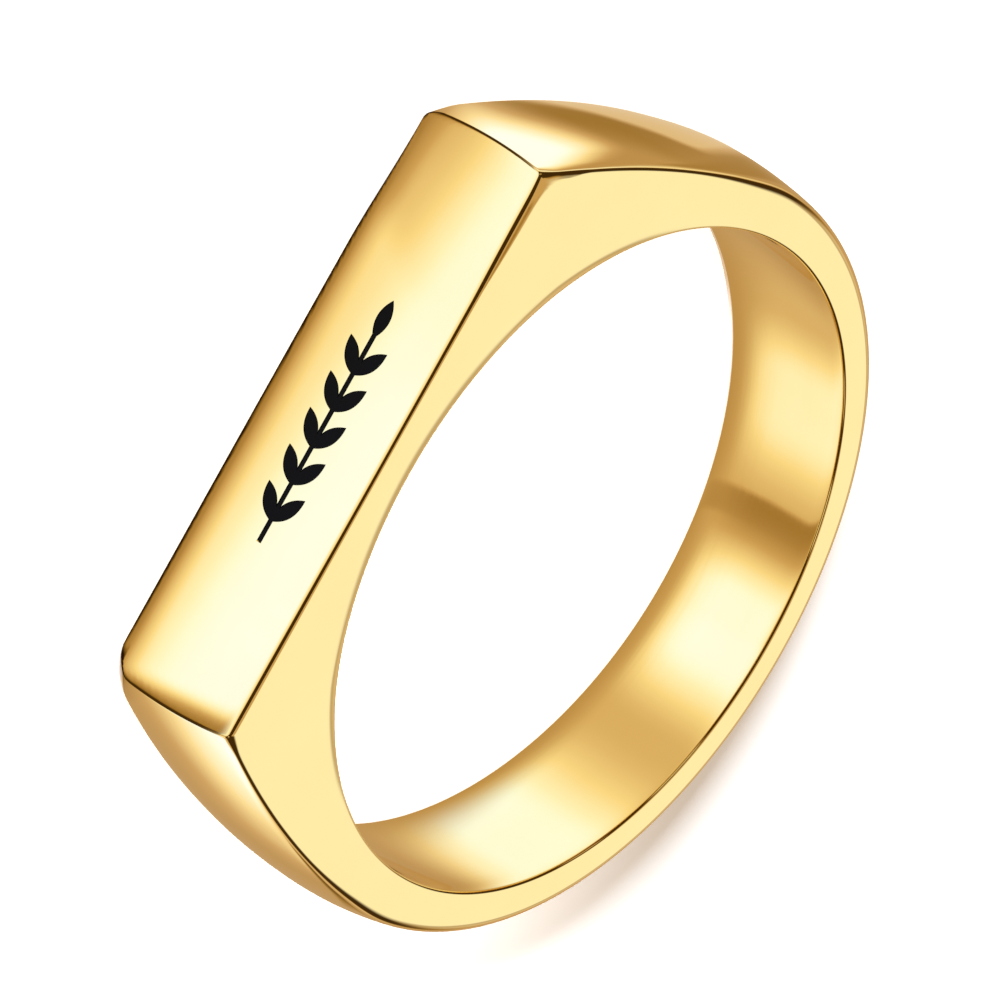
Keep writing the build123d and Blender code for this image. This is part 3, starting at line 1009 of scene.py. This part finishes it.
only_mirrored("floor_cards", FLOOR_RADII, FLOOR_AZIMUTHS,
              floor_point, floor_light, floor_cover, warm_cards)
only_mirrored("tent", TENT_ELEVATIONS, TENT_AZIMUTHS,
              on_dome(TENT_DISTANCE), tent_light, everywhere, warm_cards)
only_mirrored("back_softbox", SOFTBOX_ELEVATIONS, SOFTBOX_AZIMUTHS,
              on_dome(SOFTBOX_DISTANCE), everywhere, softbox_cover, softbox_cloth)


# ---------------------------------------------------------------- light
# A low soft lamp in front throws the warm shade behind the shank. Two spots keep the floor
# white in the bore and beside the near shoulder. A faint white sky fills the rest.
world = bpy.data.worlds.new("studio")
bpy.context.scene.world = world
world.use_nodes = True
sky = world.node_tree.nodes["Background"].inputs
sky["Color"].default_value = linear("#FFFFFF")
sky["Strength"].default_value = 0.15


def hang_lamp(name, data, place, aim):
    """Hangs a lamp that neither the camera nor the metal sees. Places in millimetres."""
    lamp = bpy.data.objects.new(name, data)
    lamp.location = Vector(place) * MM
    lamp.rotation_mode = "QUATERNION"
    lamp.rotation_quaternion = (Vector(aim) - Vector(place)).to_track_quat("-Z", "Y")
    lamp.visible_camera = False
    lamp.visible_glossy = False
    bpy.context.collection.objects.link(lamp)


front_lamp = bpy.data.lights.new("front_lamp", "AREA")
front_lamp.shape = "RECTANGLE"
front_lamp.size, front_lamp.size_y = 90 * MM, 60 * MM
front_lamp.energy = 7.2
front_lamp.color = linear("#E9F4FF")[:3]
hang_lamp("front_lamp", front_lamp, (-170, -573, 345), (0, 0, 0))

SPOT_HEIGHT = 500
SPOT_WIDTH = 4              # of the lamp itself, which sets how soft its shadows are


def floor_spot(name, x, y, radius, lean, power):
    """A high lamp that lights one round patch of the floor, and hangs this far over to +X."""
    data = bpy.data.lights.new(name, "SPOT")
    data.energy = power
    data.spot_size = 2 * math.atan(radius / SPOT_HEIGHT)
    data.spot_blend = 0.12
    data.shadow_soft_size = SPOT_WIDTH * MM
    hang_lamp(name, data, (x + lean, y, SPOT_HEIGHT), (x, y, 0))


floor_spot("bore_spot", -0.9, 1.0, radius=10.4, lean=60, power=8.0)
floor_spot("near_side_spot", 15.2, 0.6, radius=11.4, lean=300, power=12.0)


# ---------------------------------------------------------------- camera
# A long lens looks down on the plate from in front and is rolled, so that the plate stands
# on its end at the picture's left.
VIEW_AZIMUTH = -2.758       # degrees from straight in front of the plate, towards +X
VIEW_ELEVATION = 33.315
VIEW_ROLL = 120.787
VIEW_DISTANCE = 0.5         # metres
VIEW_TARGET = Vector((-0.148, -0.561, 1.1365)) * MM
VIEW_LENS = 21.16558624     # focal length in sensor widths

camera_data = bpy.data.cameras.new("photo_camera")
camera_data.sensor_width = 36.0
camera_data.lens = VIEW_LENS * camera_data.sensor_width
camera_data.clip_start = 0.01
camera_data.clip_end = 10.0
camera = bpy.data.objects.new("photo_camera", camera_data)
bpy.context.collection.objects.link(camera)
azimuth, elevation = math.radians(VIEW_AZIMUTH), math.radians(VIEW_ELEVATION)
ahead = math.cos(elevation)
back = Vector((math.sin(azimuth) * ahead, -math.cos(azimuth) * ahead, math.sin(elevation)))
place = Matrix.Translation(VIEW_TARGET + back * VIEW_DISTANCE)
level = (-back).to_track_quat("-Z", "Y").to_matrix().to_4x4()
roll = Matrix.Rotation(math.radians(VIEW_ROLL), 4, "Z")
camera.matrix_world = place @ level @ roll
bpy.context.scene.camera = camera
bpy.context.scene.view_settings.view_transform = "Standard"
